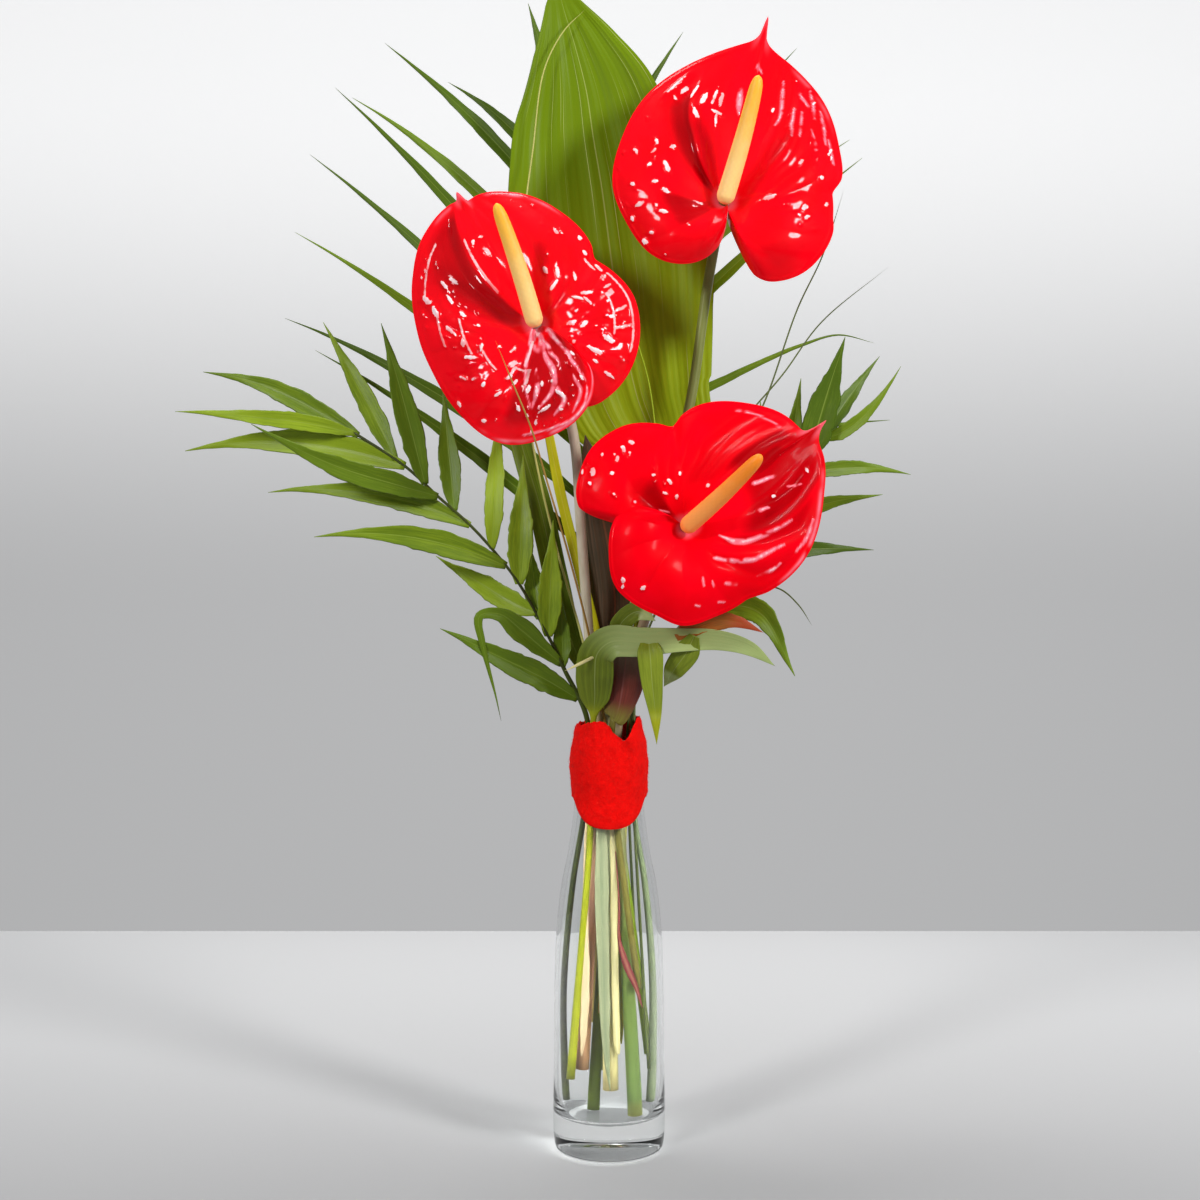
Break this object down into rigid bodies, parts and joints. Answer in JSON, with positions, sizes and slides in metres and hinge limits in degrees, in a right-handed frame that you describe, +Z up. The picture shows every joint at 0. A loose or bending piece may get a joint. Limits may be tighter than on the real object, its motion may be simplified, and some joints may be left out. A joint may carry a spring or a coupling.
{
  "type": "tied anthurium bouquet in glass vase",
  "caption": "Tied bouquet of heart-shaped red anthuriums with palm fronds, a broad leaf and bear grass, in a tall bottle-shaped glass vase with a red felt neck sleeve.",
  "frame": {"origin": "centre of the vase's flat underside, on the surface that it stands on", "axes": "+Z up along the vase's axis; -Y is the front, where the flowers face; +X is to the right seen from the front"},
  "size_m": [0.4196, 0.1583, 0.6677],
  "materials": {
    "glass": "clear polished glass with a thick base",
    "felt": "matt fuzzy red felt",
    "spathe": "waxy high gloss over raised veins",
    "spadix": "matt, finely beaded, cream to orange",
    "stem": "smooth, satin",
    "leaf": "satin, ribbed lengthwise",
    "dark_leaf": "satin, ribbed lengthwise",
    "bronze_leaf": "satin, ribbed lengthwise",
    "striped_leaf": "satin, striped lengthwise",
    "grass": "matt"
  },
  "bodies": {
    "root": {"vase": "glass", "neck_sleeve": "felt", "anthurium_left_stem": "stem", "anthurium_left_spathe": "spathe", "anthurium_left_spadix": "spadix", "anthurium_top_stem": "stem", "anthurium_top_spathe": "spathe", "anthurium_top_spadix": "spadix", "anthurium_right_stem": "stem", "anthurium_right_spathe": "spathe", "anthurium_right_spadix": "spadix", "aspidistra_leaf": "leaf", "strap_leaf": "dark_leaf", "cordyline_leaf": "bronze_leaf", "striped_blade": "striped_leaf", "bronze_leaf": "bronze_leaf", "collar_leaf": "leaf", "palm_frond_back": "leaf", "palm_frond_left": "leaf", "palm_frond_right": "leaf", "bear_grass_1": "grass", "bear_grass_2": "grass", "bear_grass_3": "grass", "bear_grass_4": "grass", "bear_grass_5": "grass", "bear_grass_6": "grass"}
  },
  "joints": []
}
